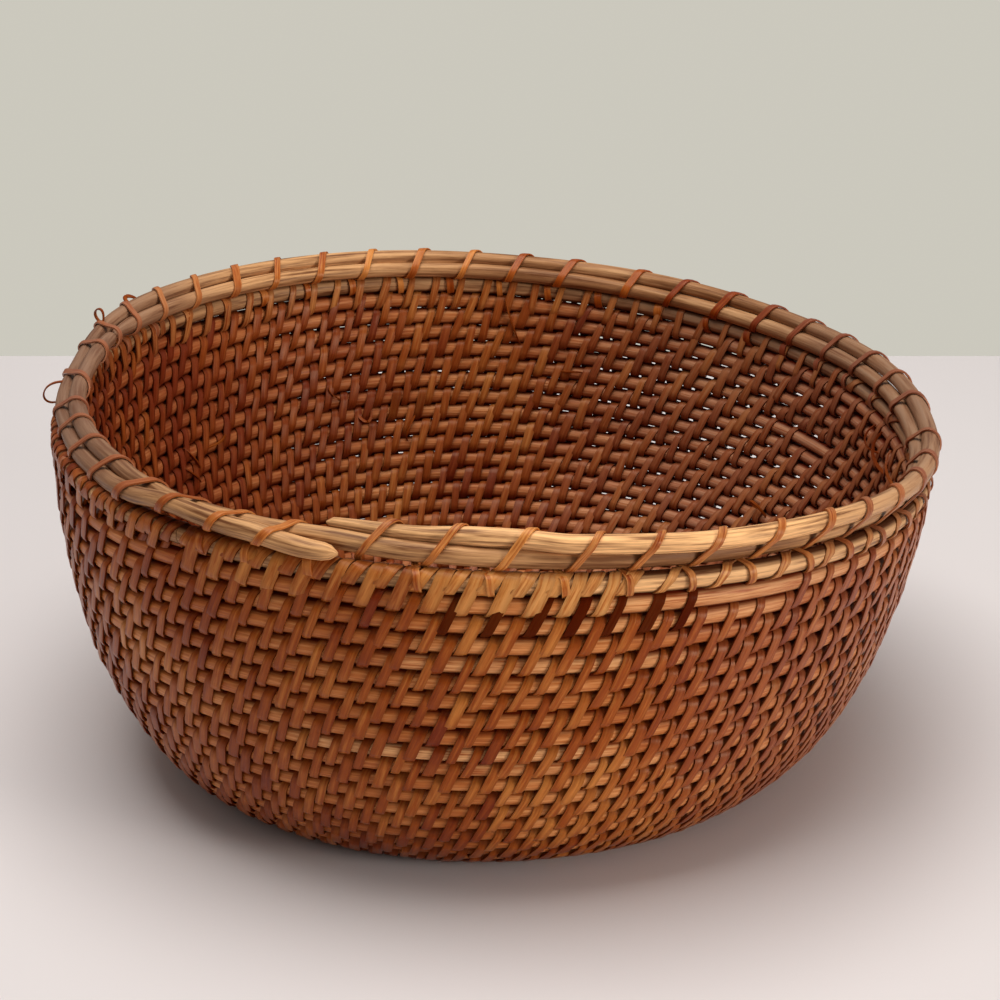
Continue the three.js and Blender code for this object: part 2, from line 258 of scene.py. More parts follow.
def place(angle, radius, height):
    """Points on the plan: a parallel curve round a flat ellipse, its normal pointing at the angle.
    Heights take the rise and dip of the rim in step with their share of the wall, and the sway
    grows with the square of that share, half of it each way."""
    across, along = np.cos(angle), np.sin(angle)
    size = np.hypot(CORE_EASE * across, CORE_HALF * along)
    x = CORE_EASE ** 2 * across / size + radius * across
    y = CORE_HALF ** 2 * along / size + radius * along
    share = np.clip((height - BASE_HEIGHT) / (HOOP_HEIGHT - BASE_HEIGHT), 0, 1)
    sway = RIM_SWAY * (share ** 2 - 0.5)
    return np.stack([x + sway, y, height + share * rim_rise(angle)], axis=-1)


def in_plane(angle, outward, upward):
    """Directions in the upright plane at an angle, from their radial and rising parts."""
    return np.stack([outward * np.cos(angle), outward * np.sin(angle), upward], axis=-1)


def out_and_up(angle):
    """Level outward and upright directions at an angle."""
    ones, zeros = np.ones_like(angle), np.zeros_like(angle)
    return in_plane(angle, ones, zeros), in_plane(angle, zeros, ones)


# The coil

def rows_at(turn, turns):
    """Rows wound by a turn: even at the base, gathered into one step a turn towards the top."""
    whole = np.floor(turn)
    share = turn - whole
    level = 1 - STEP_SPAN
    early = (1 - STEP_SHARE) * share / level
    late = 1 - STEP_SHARE + STEP_SHARE * (share - level) / (1 - level)
    gathered = np.where(share < level, early, late)
    return whole + share + (gathered - share) * turn / turns


STRAIGHT_TURN = 1 - STEP_ANGLE / FULL
START_TURN = STRAIGHT_TURN - START_LEAD
END_REACH = HOOP_REACH - (ROD + TIP) / 2 - HOOP_GAP + (ROD - TIP) / 2
TURNS = round(END_REACH / (ROD + ROW_GAP))
ROW_SHIFT = (rows_at(STRAIGHT_TURN, TURNS) + rows_at(STRAIGHT_TURN + 0.5, TURNS) - 1) / 2
ROW_PITCH = END_REACH / (TURNS - ROW_SHIFT)
BASE_TURNS = round(BASE_RADIUS / ROW_PITCH + ROW_SHIFT)


def coil(turn):
    """Angle, radius, height, direction and thickness of the coil. The turn after the last one is
    the level hoop, and the last row is shaved down over the step. The first turns are drawn in, so
    the start of the coil has no slit."""
    turn = np.asarray(turn, dtype=float)
    angle = STEP_ANGLE + FULL * turn
    shaved = TIP + (ROD - TIP) * np.clip((TURNS - turn) / STEP_SPAN, 0, 1)
    on_hoop = turn > TURNS
    thickness = np.where(on_hoop, ROD, shaved)
    reach = ROW_PITCH * (rows_at(turn, TURNS) - ROW_SHIFT) - (ROD - thickness) / 2
    reach = np.where(on_hoop, HOOP_REACH, reach + rise_to_hoop(turn))
    radius, height, run, rise = profile_at(reach)
    radius = radius - CORE_EASE * np.clip(1 - (turn - START_TURN) / CLOSED_TURNS, 0, 1)
    out, up = (waver(turn, seed, size) for seed, size in zip(COIL_SEEDS, COIL_WAVER))
    return angle, radius + out * rise + up * run, height + up * rise, run, rise, thickness + FULLER


def rise_to_hoop(turn):
    """How far the top rows are drawn up to the hoop, which leaves a slit over the last row: in full
    on the last row, and less and less on the rows under it."""
    share = np.mod(turn + DRAWN_AHEAD, 1) - DRAWN_AHEAD
    last_row = rows_at(TURNS - 1 + np.maximum(share, 0), TURNS)
    slit = HOOP_REACH - ROW_PITCH * (1 + last_row - ROW_SHIFT)
    drawn = np.clip((turn - TURNS + DRAWN_ROWS) / (DRAWN_ROWS - 1), 0, 1)
    return DRAWN_SHARE * np.maximum(slit, 0) * drawn * ease(share, 0, 2 * DRAWN_AHEAD)


def row_room(angle, run, rise):
    """Room from row to row on the wall, stretched and squeezed with the rise of the rim."""
    stretch = 1 + rim_rise(angle) / (HOOP_HEIGHT - BASE_HEIGHT)
    return ROW_PITCH * np.hypot(run, rise * stretch)


def loose_rows(angle, height):
    """Where the rows stand a little apart: most at the right, only between base and hoop."""
    over_base = ease(height, middle=18, width=12)
    under_hoop = ease(height, middle=HOOP_HEIGHT - 5, width=-6)
    return from_table(plan_degrees(angle), ROWS_APART) * over_base * under_hoop


# The rim

def rim_stop(degrees, column):
    """Value of a column of the rim's stops at an angle, eased from stop to stop."""
    angles = RIM_STOPS[:, 0]
    before = np.clip(np.searchsorted(angles, degrees, side="right") - 1, 0, len(angles) - 2)
    share = (degrees - angles[before]) / (angles[before + 1] - angles[before])
    values = RIM_STOPS[:, column]
    return values[before] + ease(share, 0.5, 1) * (values[before + 1] - values[before])


def inner_rim(degrees):
    """Place of the inner rim cane from the hoop, outward and up."""
    around = np.mod(degrees - OUTER_RIM_START, 360) + OUTER_RIM_START
    return np.stack([rim_stop(around, 1), rim_stop(around, 2)], axis=-1)


def outer_thickness(degrees):
    """Thickness of the outer rim cane, which grows from a thin start."""
    return RIM_TIP + (ROD - RIM_TIP) * np.clip((degrees - OUTER_RIM_START) / RIM_TAPER, 0, 1)


def outer_rim(degrees):
    """Place of the outer rim cane from the hoop: a thickness from the inner one, on its side."""
    side = np.radians(rim_stop(degrees, 3))
    distance = (outer_thickness(degrees) + ROD) / 2 + RIM_GAP
    direction = np.stack([np.cos(side), np.sin(side)], axis=-1)
    return inner_rim(degrees) + distance[..., None] * direction


# Meshes

def grid_piece(name, points, material, nodes=(), values=None):
    """Closed skin over rings of points (rings, points in a ring, 3) in millimetres, with a fan on
    both ends. The first UV axis runs along the piece in metres, the second once round it. values
    are numbers per ring or per point, kept as attributes for the finish."""
    rings, around, _ = points.shape
    flat = points.reshape(-1, 3) * MM
    here = np.arange((rings - 1) * around).reshape(rings - 1, around)
    beside = np.roll(here, -1, axis=1)
    quads = np.stack([here, beside, beside + around, here + around], axis=-1).reshape(-1, 4)
    fan = np.arange(1, around - 1)
    hub = np.zeros_like(fan)
    first_end = np.stack([hub, fan + 1, fan], axis=-1)
    last_end = np.stack([hub, fan, fan + 1], axis=-1) + (rings - 1) * around
    ends = np.concatenate([first_end, last_end])
    if signed_volume(flat, quads) < 0:
        quads = quads[:, ::-1]
        ends = ends[:, ::-1]
    steps = np.linalg.norm(np.diff(points.mean(axis=1), axis=0), axis=1)
    length = np.concatenate([[0], np.cumsum(steps)])
    along = np.repeat(length * MM, around)
    round_share = np.tile(np.arange(around) / around, rings)
    quad_round = round_share[quads]
    past_seam = quad_round.max(axis=1, keepdims=True) - quad_round > 0.5
    corner_along = np.concatenate([along[quads].ravel(), along[ends].ravel()])
    corner_round = np.concatenate([(quad_round + past_seam).ravel(), round_share[ends].ravel()])
    corner_uv = np.stack([corner_along, corner_round], axis=-1)

    mesh = bpy.data.meshes.new(name)
    mesh.vertices.add(len(flat))
    mesh.vertices.foreach_set("co", flat.astype(np.float32).ravel())
    corners = np.concatenate([quads.ravel(), ends.ravel()]).astype(np.int32)
    mesh.loops.add(len(corners))
    mesh.loops.foreach_set("vertex_index", corners)
    starts = np.concatenate([np.arange(len(quads)) * 4, len(quads) * 4 + np.arange(len(ends)) * 3])
    mesh.polygons.add(len(starts))
    mesh.polygons.foreach_set("loop_start", starts.astype(np.int32))
    mesh.update(calc_edges=True)
    mesh.validate()
    uv = mesh.uv_layers.new(name="grain")
    uv.data.foreach_set("uv", corner_uv.astype(np.float32).ravel())
    for label, value in (values or {}).items():
        value = np.asarray(value, dtype=np.float32)
        value = np.broadcast_to(value.reshape(rings, -1), (rings, around))
        layer = mesh.attributes.new(label, "FLOAT", "POINT")
        layer.data.foreach_set("value", value.ravel())
    mesh.polygons.foreach_set("use_smooth", np.ones(len(starts), dtype=bool))
    mesh.set_sharp_from_angle(angle=SHARP_ANGLE)
    mesh.materials.append(material)
    piece = bpy.data.objects.new(name, mesh)
    bpy.context.scene.collection.objects.link(piece)
    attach(piece, "root")
    if nodes:
        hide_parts(*nodes)


def signed_volume(points, quads):
    """Six times the volume inside the sides, two triangles a quad. Negative if they face inward."""
    a, b, c, d = (points[quads[:, corner]] for corner in range(4))
    return np.einsum("ij,ij->", a, np.cross(b, c) + np.cross(c, d))


def rod_rings(centre, out, up, radius):
    """Round section along a path: centre, plus radius times cosine along out and sine along up."""
    around = np.arange(CANE_SIDES) * FULL / CANE_SIDES
    across = (radius[:, None] * np.cos(around))[..., None] * out[:, None]
    rising = (radius[:, None] * np.sin(around))[..., None] * up[:, None]
    return centre[:, None] + across + rising


def strip_rings(path, outward, width, thickness=STRIP_THICKNESS, crown=STRIP_CROWN):
    """Flat strip with a slightly raised middle, carried along a path with its face outward. The
    width lies across the path and the outward direction."""
    run = np.gradient(path, axis=0)
    side = np.cross(run, outward)
    side /= np.linalg.norm(side, axis=1, keepdims=True)
    half = np.broadcast_to(np.asarray(width) / 2, path.shape[:1])[:, None]
    rise = thickness / 2
    return np.stack([
        path - side * half + outward * rise,
        path + outward * (rise + crown),
        path + side * half + outward * rise,
        path + side * half - outward * rise,
        path - side * half - outward * rise,
    ], axis=1)


# Wear and painted light: shares of stain and painted shade, dust and painted sheen, pale worn skin,
# and steps of tone

EDGE_SHADE = (0.36, 0, 0.36, 0.8, 0.8)  # painted shade at the corners of a strip's section
HOOP_WRAP_TONE = 1.6  # the wraps on the hoop are this much lighter
LASH_TONE = 0.1
LASH_PALE = 0.5  # share of the rim's paleness that the lashing has
CANE_TONE_WAVER, CANE_TONE_SEED = 0.8, 31  # how much the tone of a cane strays
RIM_TONE_WAVER, RIM_TONE_SEED = 0.9, 51
INSIDE_CANE_DUST_AND_SHEEN = 1.4  # dust and painted sheen on the canes inside, against the stitches there
UNDER_SHADE_TONE = 5  # painted shade: how much darker a rim cane is where it is less pale than the other, which lies over it
# Stretches of cane with a pale worn skin: middle turn, half length in turns, and amount
WORN_STRETCHES = (
    (34.21, 0.07, 0.5),
    (33.17, 0.045, 0.35),
    (31.13, 0.05, 0.55),
    (30.443, 0.026, 0.45),
    (26.1, 0.055, 0.8),
    (25.14, 0.04, 0.4),
)
WORN_EDGE = 0.02  # turns over which such a stretch fades out
# Plan angle and how pale the hoop is there
HOOP_PALE = (
    (-125, 0.2), (-102, 0.5), (-92, 0.95), (-50, 0.95), (0, 0.75), (40, 0.3), (90, 0.3), (130, 0.5),
    (170, 0.2),
)


def stain_at(turn):
    """Dark stains on the stitches of the row under the hoop at the front."""
    amount = 0.92
    degrees = plan_degrees(STEP_ANGLE + FULL * turn)
    stretch = ease(degrees, middle=-98, width=4) * ease(degrees, middle=-64, width=-6)
    row = (turn > TURNS - 1) & (turn < TURNS)
    return amount * stretch * row


def bend_shade(share):
    """Painted shade on a stitch where it bends round a row, at both ends of each half of a wrap."""
    amount = 0.45
    gone = np.mod(share, 0.5)
    return amount * ease(np.minimum(gone, 0.5 - gone), middle=0.1, width=-0.1)


def joint_shade(around):
    """Painted shade on a cane where it meets the rows over and under it, by the angle round its
    section.
    """
    amount = 0.97
    return amount * ease(np.abs(np.sin(around)), middle=0.66, width=0.5)


def inside_dust_and_sheen(angle):
    """Dust and painted sheen on the inside of the wall, most at the right."""
    everywhere, at_right = 0.1, 0.42
    return everywhere + at_right * ease(np.cos(angle), middle=0.4, width=0.9)


def outside_dust_and_sheen(angle):
    """Dust and painted sheen on the outside of the wall, at the right only."""
    amount = 0.35
    return amount * ease(np.cos(angle), middle=0.55, width=0.6)


def rim_dust(angle):
    """Dust on the rim, at both sides."""
    amount = 0.6
    return amount * ease(np.abs(np.cos(angle)), middle=0.8, width=0.4)


def inside_left_shade(angle):
    """The inside of the left wall is painted darker: painted shade."""
    steps = 2.4
    return steps * ease(-np.cos(angle), middle=0.45, width=0.9)


def dark_lashing(angle):
    """The lashing is darker at the right."""
    steps = 2.4
    return steps * ease(np.cos(angle), middle=0.4, width=0.8)


def dark_rim(angle):
    """The rim is darker at the left."""
    steps = 3.0
    return steps * near(angle, 180, spread=0.28)


def dark_patch(angle, height):
    """A dark patch on the stitches of the far wall, which fades out from its middle."""
    amount, degrees, level, spread = 0.75, 104, 62, 4
    aside, above = plan_degrees(angle) - degrees, height - level
    return amount * np.exp(-(aside ** 2 + above ** 2) / spread ** 2)


def rim_pale(angle):
    """The rim is palest at the front and at the far left, where it has been handled most."""
    far_left = 0.45
    return near(angle, -75, spread=0.35) + far_left * near(angle, 125, spread=0.12)


def inner_rim_pale_and_shade(angle):
    """The inner rim cane is as pale as the rim, but painted darker at the front right as painted
    shade, where the outer one lies over it.
    """
    shade_loss = 0.9
    return rim_pale(angle) * (1 - shade_loss * near(angle, -70, spread=0.2))


def hoop_wrap_pale(angle):
    """The wraps on the hoop are pale like the rim, but less so at the left."""
    least = 0.3
    return rim_pale(angle) * (least + (1 - least) * ease(np.degrees(angle), middle=-92, width=14))


def worn_hoop(turn):
    """The hoop is pale at the front and at the right."""
    return from_table(plan_degrees(STEP_ANGLE + FULL * turn), HOOP_PALE)


def worn_stretches(turn):
    """Paleness of the coil, from its worn stretches."""
    total = 0 * turn
    for middle, half, amount in WORN_STRETCHES:
        total = total + amount * ease(np.abs(turn - middle), half, -WORN_EDGE)
    return total


# Stitching

def stitch_counter():
    """Turns of the coil and the stitches made by each: spread along the oval by the table, as many a
    turn all up the wall, and fewer on the shorter rows of the base."""
    turn = np.linspace(START_TURN, TURNS, COUNTER_STEPS)
    angle, radius = coil(turn)[:2]
    size = np.hypot(CORE_EASE * np.cos(angle), CORE_HALF * np.sin(angle))
    core_bend = (CORE_EASE * CORE_HALF) ** 2 / size ** 3
    girth = FULL * radius + 4 * CORE_HALF
    count = STITCHES * np.minimum(1, girth / (FULL * BASE_RADIUS + 4 * CORE_HALF))
    closeness = 1 / from_table(plan_degrees(angle), STITCH_SPREAD)
    last_turn = turn >= TURNS - 1
    whole = radius * closeness[last_turn].mean() + (closeness * core_bend)[last_turn].mean()
    pace = count * closeness * (radius + core_bend) / whole
    made = np.concatenate([[0], np.cumsum((pace[1:] + pace[:-1]) / 2 * np.diff(turn))])
    return turn, made


def hoop_counter():
    """Turns of the hoop and the wraps made by each: close together at the front left and at the
    left, one midway between two lashings at the front right, and wider apart at the back."""
    midway = LASH_START + FRONT_RIGHT_LEAD * LASH_STEP - STEP_END + 360
    front_right = (midway, FRONT_RIGHT_END, LASH_STEP)
    stretches = (FRONT_LEFT_WRAPS, front_right, BACK_WRAPS, LEFT_WRAPS)
    places = np.concatenate([np.arange(*stretch) for stretch in stretches])
    return TURNS + places / 360, np.arange(len(places), dtype=float)


def bare_row(turn):
    """Whether the coil is bare at a turn: the stitches round this row and the one under it run on
    inside that one, and those round this row and the one over it hold that one alone."""
    bare = np.zeros(np.shape(turn), dtype=bool)
    for row, *ends in BARE_STRETCHES:
        first, last = (TURNS - row + (degrees - STEP_END) % 360 / 360 for degrees in ends)
        bare |= (turn > first) & (turn < last)
    return bare


def wrap_outline(upper, lower, share, reach, slack):
    """Place round two canes, in their plane, at a share of a wrap: up the outside, over the upper
    cane, down the inside and under the lower one. upper and lower are (radius, height) arrays.
    Returns the point and the outward direction."""
    tiny, touching = 1e-6, 1e-3
    span = upper - lower
    length = np.maximum(np.linalg.norm(span, axis=-1), tiny)
    rising = np.where(length[..., None] > touching, span / length[..., None], (0, 1))
    facing = np.stack([rising[..., 1], -rising[..., 0]], axis=-1)
    half = math.pi * reach + length
    second = share >= 0.5
    gone = np.where(second, share - 0.5, share) * 2 * half
    quarter = math.pi * reach / 2
    first_bend = np.clip(gone / reach, 0, math.pi / 2)
    straight = np.clip((gone - quarter) / length, 0, 1)
    last_bend = np.clip((gone - quarter - length) / reach, 0, math.pi / 2)
    turned = first_bend + last_bend - math.pi / 2 + np.where(second, math.pi, 0)
    moved = np.where(second, 1 - straight, straight)
    outward = np.cos(turned)[..., None] * facing + np.sin(turned)[..., None] * rising
    away = reach + slack * (1 - moved)
    return lower + moved[..., None] * span + away[..., None] * outward, outward


def stitches(first, last, turn_table, made_table, seed, hoop_wraps=False):
    """Strip wound on along the coil, one wrap a stitch, each round a row and the one under it. On
    the hoop some wraps hold it alone."""
    number = np.arange(first, last)
    count = len(number)
    chance = np.random.default_rng(seed)
    shift = chance.normal(0, STITCH_SHIFT, count + 1)
    width = STITCH_WIDTH * chance.uniform(*STITCH_WIDTHS, count + 1)
    tone = chance.normal(0, 1, (count, 2))
    slack = chance.uniform(*STITCH_SLACK, count)
    share = np.broadcast_to(WRAP_SHARES, (count, len(WRAP_SHARES)))
    blend = np.clip(share * 2 - 1, 0, 1)
    drift = shift[:-1, None] * (1 - blend) + shift[1:, None] * blend
    wide = width[:-1, None] * (1 - blend) + width[1:, None] * blend
    lean = OUTER_LEAN
    if hoop_wraps:
        spacing = 360 * np.gradient(turn_table)[number][:, None]
        lean = np.clip(HOOP_LEAN / spacing, *HOOP_LEAN_SHARES)
    moved = lean * np.clip(share * 2, 0, 1) + (1 - lean) * blend
    turn = np.interp(number[:, None] + moved - lean / 2 + drift, made_table, turn_table)
    middle = np.interp(number, made_table, turn_table)[:, None]

    angle, radius, height, _, _, thick = coil(turn)
    low_radius, low_height = coil(np.maximum(turn - 1, START_TURN))[1:3]
    alone = turn - 1 < START_TURN
    if hoop_wraps:
        degrees = (middle - TURNS) * 360
        wide = wide * from_table(degrees, HOOP_WIDTHS)
        paired = (degrees < PAIRED_BEFORE) | (degrees > PAIRED_AFTER)
        single = (degrees > PAIRED_BEFORE) & (degrees < FRONT_RIGHT_END)
        every_other = number[:, None] % 2 == 0
        alone = np.broadcast_to(paired & every_other | single, turn.shape)
    upper = np.stack([radius, height], axis=-1)
    lower = np.where(alone[..., None], upper, np.stack([low_radius, low_height], axis=-1))
    skipped = bare_row(middle)
    lower = np.where(bare_row(middle - 1)[..., None], upper, lower)
    upper = np.where(skipped[..., None], lower, upper)
    reach = np.where(skipped, TUCKED_REACH, (thick + STRIP_THICKNESS) / 2 + STITCH_LIFT)
    point, outward = wrap_outline(upper, lower, share, reach, slack[:, None])

    path = place(angle, point[..., 0], point[..., 1]).reshape(-1, 3)
    face = in_plane(angle, outward[..., 0], outward[..., 1]).reshape(-1, 3)
    rings = strip_rings(path, face, wide.ravel())
    rings[..., 2] = np.maximum(rings[..., 2], STITCH_FLOORS)
    inside = share >= 0.5
    # Real stains and a dark patch, and painted shade where the stitch bends round a row
    dark_stain_and_shade = np.maximum(stain_at(turn) + dark_patch(angle, height), bend_shade(share))
    values = {
        # The inside of the left wall is painted darker: painted shade
        "tone": np.where(inside, tone[:, 1:] - inside_left_shade(angle), tone[:, :1]),
        # Painted shade at the strip's corners, under the stains and the bend shade
        "stain_and_shade": np.maximum(dark_stain_and_shade.reshape(-1, 1), EDGE_SHADE),
        # Dust and painted sheen, greying the wall most at the right
        "dust_and_sheen": np.where(inside, inside_dust_and_sheen(angle), outside_dust_and_sheen(angle)),
    }
    return rings, values


# Finishes

SHINE = 0.32  # gloss of the clean skin, lost where it is stained and where shade is painted
SHINE_TINT = (1.0, 0.72, 0.5, 1)
PATCH_SCALE = 22.0  # patches of tone in a metre
PATCH_SHARE = 0.7  # how much they count in the tone
TONE_STEP = 0.07  # and each step of a stitch's or a cane's own tone
TONE_START = 0.195  # tone of a plain skin
DARK_STOP, RED_STOP, LIGHT_STOP = 0.3, 0.56, 0.82  # tones of the three main colours
PEELED_FIBRE = (0.36, 0.58)  # fibre noise from which the skin starts to peel, and is off
DUSTY_FIBRE = (0.35, 0.65)  # fibre noise with the least and the most dust
DUST_SHARES = (0.4, 1.3)
ROUGHER = (-0.1, 0.12)  # how much the roughness changes with the fibre noise
RELIEF = 0.6  # strength of the fibres' relief
# Numbers of a colour mix node's sockets
MIX_SHARE, MIX_UNDER, MIX_OVER, MIX_RESULT = 0, 6, 7, 2


def new_material(name):
    """Material with a Principled shader, with its tree and the shader."""
    material = bpy.data.materials.new(name)
    material.use_nodes = True
    tree = material.node_tree
    return material, tree, tree.nodes["Principled BSDF"]


def feed(tree, node, inputs):
    """Gives inputs of a node, by name or number, a value or the output of another node."""
    for label, value in inputs.items():
        if isinstance(value, bpy.types.NodeSocket):
            tree.links.new(value, node.inputs[label])
        else:
            node.inputs[label].default_value = value


def add_node(tree, kind, inputs=None, **settings):
    """Node of a kind, with its plain settings and its inputs."""
    node = tree.nodes.new(kind)
    for label, value in settings.items():
        setattr(node, label, value)
    feed(tree, node, inputs or {})
    return node


def multiply_add(tree, value, factor, added=0):
    """Value times a factor, and more added."""
    inputs = {0: value, 1: factor, 2: added}
    return add_node(tree, "ShaderNodeMath", inputs, operation="MULTIPLY_ADD").outputs[0]


def map_range(tree, value, span, to_span):
    """Value carried from one span to another, and kept within it."""
    labels = ("Value", "From Min", "From Max", "To Min", "To Max")
    inputs = dict(zip(labels, (value, *span, *to_span)))
    return add_node(tree, "ShaderNodeMapRange", inputs).outputs["Result"]


def mix_colours(tree, share, under, over):
    """Colour under, with a share of a plain colour over it."""
    inputs = {MIX_SHARE: share, MIX_UNDER: under, MIX_OVER: (*over, 1)}
    return add_node(tree, "ShaderNodeMix", inputs, data_type="RGBA").outputs[MIX_RESULT]


def rattan(name, dark, red, light, worn, dark_stain_and_shade, dust_and_sheen_colour, roughness, grain, streaks, bump):
    """Rattan skin: long fibre streaks from noise stretched along the piece, patches of tone over the
    basket, each stitch's own tone, worn stretches, dust with painted sheen, and stains with painted
    shade in the gaps and bends. Colours are linear."""
    material, tree, shader = new_material(name)
    uv = add_node(tree, "ShaderNodeUVMap", uv_map="grain").outputs["UV"]
    on_basket = add_node(tree, "ShaderNodeTexCoord").outputs["Object"]
    stretch = add_node(tree, "ShaderNodeMapping", {"Vector": uv, "Scale": grain}).outputs["Vector"]
    fibre_inputs = {"Vector": stretch, "Scale": 1.0, "Detail": 4.0, "Roughness": 0.6}
    fibre = add_node(tree, "ShaderNodeTexNoise", fibre_inputs).outputs["Fac"]
    patch_inputs = {"Vector": on_basket, "Scale": PATCH_SCALE, "Detail": 3.0, "Roughness": 0.55}
    patch = add_node(tree, "ShaderNodeTexNoise", patch_inputs).outputs["Fac"]
    tone, stain_and_shade, pale, dust_and_sheen = (
        add_node(tree, "ShaderNodeAttribute", attribute_name=label).outputs["Fac"]
        for label in ("tone", "stain_and_shade", "pale", "dust_and_sheen")
    )

    own_tone = multiply_add(tree, tone, TONE_STEP, TONE_START - streaks / 2)
    with_patch = multiply_add(tree, patch, PATCH_SHARE, own_tone)
    with_fibre = multiply_add(tree, fibre, streaks, with_patch)
    ramp = add_node(tree, "ShaderNodeValToRGB", {"Fac": with_fibre})
    stops = ramp.color_ramp.elements
    stops[0].position = DARK_STOP
    stops[0].color = (*dark, 1)
    stops[1].position = LIGHT_STOP
    stops[1].color = (*light, 1)
    stops.new(RED_STOP).color = (*red, 1)
    peeled = map_range(tree, fibre, PEELED_FIBRE, (0, 1))
    colour = mix_colours(tree, multiply_add(tree, peeled, pale), ramp.outputs["Color"], worn)
    uneven = map_range(tree, fibre, DUSTY_FIBRE, DUST_SHARES)
    colour = mix_colours(tree, multiply_add(tree, dust_and_sheen, uneven), colour, dust_and_sheen_colour)
    # Real stains and painted shade are mixed in with the same dark colour
    colour = mix_colours(tree, stain_and_shade, colour, dark_stain_and_shade)

    relief_inputs = {"Strength": RELIEF, "Distance": bump, "Height": fibre}
    feed(tree, shader, {
        "Base Color": colour,
        "Roughness": map_range(tree, fibre, (0, 1), [roughness + change for change in ROUGHER]),
        "Normal": add_node(tree, "ShaderNodeBump", relief_inputs).outputs["Normal"],
        "Specular IOR Level": multiply_add(tree, stain_and_shade, -SHINE, SHINE),
        "Specular Tint": SHINE_TINT,
    })
    return material


cane_finish = rattan(
    "coil_cane", dark=(0.30, 0.052, 0.007), red=(0.50, 0.148, 0.033), light=(0.78, 0.33, 0.115),
    worn=(0.88, 0.48, 0.21), dark_stain_and_shade=(0.085, 0.005, 0.0006), dust_and_sheen_colour=(0.42, 0.21, 0.13),
    roughness=0.38, grain=(60, 24, 1), streaks=0.9, bump=0.0003,
)
rim_finish = rattan(
    "rim_cane", dark=(0.14, 0.045, 0.014), red=(0.32, 0.14, 0.055), light=(0.58, 0.31, 0.14),
    worn=(0.98, 0.54, 0.23), dark_stain_and_shade=(0.05, 0.010, 0.003), dust_and_sheen_colour=(0.25, 0.145, 0.098),
    roughness=0.44, grain=(32, 11, 1), streaks=1.1, bump=0.0005,
)
strip_finish = rattan(
    "stitch_strip", dark=(0.18, 0.018, 0.0014), red=(0.34, 0.068, 0.006), light=(0.58, 0.20, 0.038),
    worn=(0.72, 0.33, 0.10), dark_stain_and_shade=(0.055, 0.004, 0.0005), dust_and_sheen_colour=(0.31, 0.14, 0.08),
    roughness=0.34, grain=(90, 9, 1), streaks=0.7, bump=0.0002,
)


# Pieces: the coil

def cane_piece(name, node, first, last, steps_a_turn, material, pale):
    """Length of the coil from one turn to another, flattened over the stitches under the base."""
    turn = np.linspace(first, last, int((last - first) * steps_a_turn))
    angle, radius, height, run, rise, thick = coil(turn)
    centre = place(angle, radius, height)
    out = in_plane(angle, rise, -run)
    up = in_plane(angle, run, rise)
    room = row_room(angle, run, rise)
    fill = np.maximum(1, (room + ROW_OVERLAP) / (ROD + FULLER))
    fill += loose_rows(angle, height) * ((room - ROW_LIGHT) / (ROD + FULLER) - fill)
    rings = rod_rings(centre, out, up * fill[:, None], thick / 2)
    rings[..., 2] = np.maximum(rings[..., 2], ROD_FLOOR)
    around = np.arange(CANE_SIDES) * FULL / CANE_SIDES
    inside = np.cos(around) < 0
    dust_and_sheen_inside = INSIDE_CANE_DUST_AND_SHEEN * inside_dust_and_sheen(angle)[:, None]
    tone = waver(turn, CANE_TONE_SEED, CANE_TONE_WAVER)[:, None]
    values = {
        # The inside of the left wall is painted darker: painted shade
        "tone": tone - inside_left_shade(angle)[:, None] * inside,
        "pale": pale(turn),
        # Painted shade where the cane meets the rows over and under it
        "stain_and_shade": np.broadcast_to(joint_shade(around), rings.shape[:2]),
        "dust_and_sheen": np.where(inside, dust_and_sheen_inside, outside_dust_and_sheen(angle)[:, None]),
    }
    grid_piece(name, rings, material, (node,), values)


def coil_lengths(kind, turns, steps_a_turn):
    """Lengths of cane from each of some turns to the next."""
    for number, (first, last) in enumerate(zip(turns[:-1], turns[1:]), 1):
        name, node = f"{kind}_coil_{number}", f"{kind}_cane_{number}"
        cane_piece(name, node, first, last, steps_a_turn, cane_finish, worn_stretches)


base_turns = [START_TURN, BASE_SPLICE_TURN, BASE_TURNS]
wall_turns = np.linspace(BASE_TURNS, TURNS, WALL_CANES + 1)
coil_lengths("base", base_turns, BASE_STEPS)
coil_lengths("wall", wall_turns, WALL_STEPS)

# The hoop starts just past the end of the coil, and its ends are a hair apart
HOOP_TURNS = (TURNS + 1e-6, TURNS + 1 - 2e-4)
cane_piece("hoop", "top_hoop", *HOOP_TURNS, HOOP_STEPS, rim_finish, worn_hoop)


# Pieces: the stitching, a band of rows each, and the wraps on the hoop

BAND_SEED, HOOP_SEED = 100, 120

turn_table, made_table = stitch_counter()
band_turns = [*base_turns, *wall_turns[1:]]
band_ends = [int(made) + 1 for made in np.interp(band_turns, turn_table, made_table)]
for number, (first, last) in enumerate(zip(band_ends[:-1], band_ends[1:])):
    rings, values = stitches(first, last, turn_table, made_table, BAND_SEED + number)
    grid_piece(f"stitching_{number + 1}", rings, strip_finish, values=values)

turn_table, made_table = hoop_counter()
rings, values = stitches(1, int(made_table[-1]), turn_table, made_table, HOOP_SEED, True)
values["pale"] = hoop_wrap_pale(np.arctan2(rings[:, 0, 1], rings[:, 0, 0]))
values["tone"] = values["tone"] + HOOP_WRAP_TONE
grid_piece("stitching_hoop", rings, strip_finish, values=values)


# Pieces: the rim

